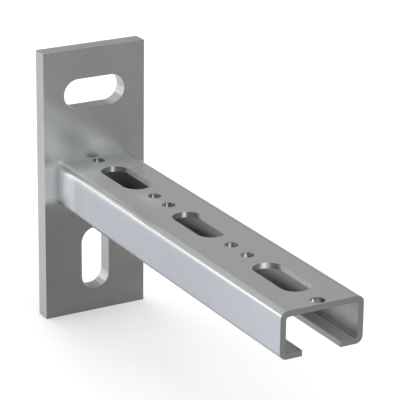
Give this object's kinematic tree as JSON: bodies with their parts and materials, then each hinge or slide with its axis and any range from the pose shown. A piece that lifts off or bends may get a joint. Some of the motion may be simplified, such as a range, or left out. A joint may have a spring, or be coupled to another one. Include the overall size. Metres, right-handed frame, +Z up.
{
  "type": "cantilever strut arm",
  "caption": "Short lipped steel channel welded square to a slotted wall plate, to carry pipes, ducts or trays off a wall.",
  "frame": {"origin": "middle of the plate's wall face", "axes": "+X across the plate, +Z up, the arm reaches out along -Y"},
  "size_m": [0.04, 0.158, 0.1006],
  "materials": {
    "plate_zinc": "satin zinc plating",
    "channel_zinc": "satin zinc plating on rolled strip"
  },
  "bodies": {
    "root": {"base_plate": "plate_zinc", "strut_channel": "channel_zinc"}
  },
  "joints": []
}
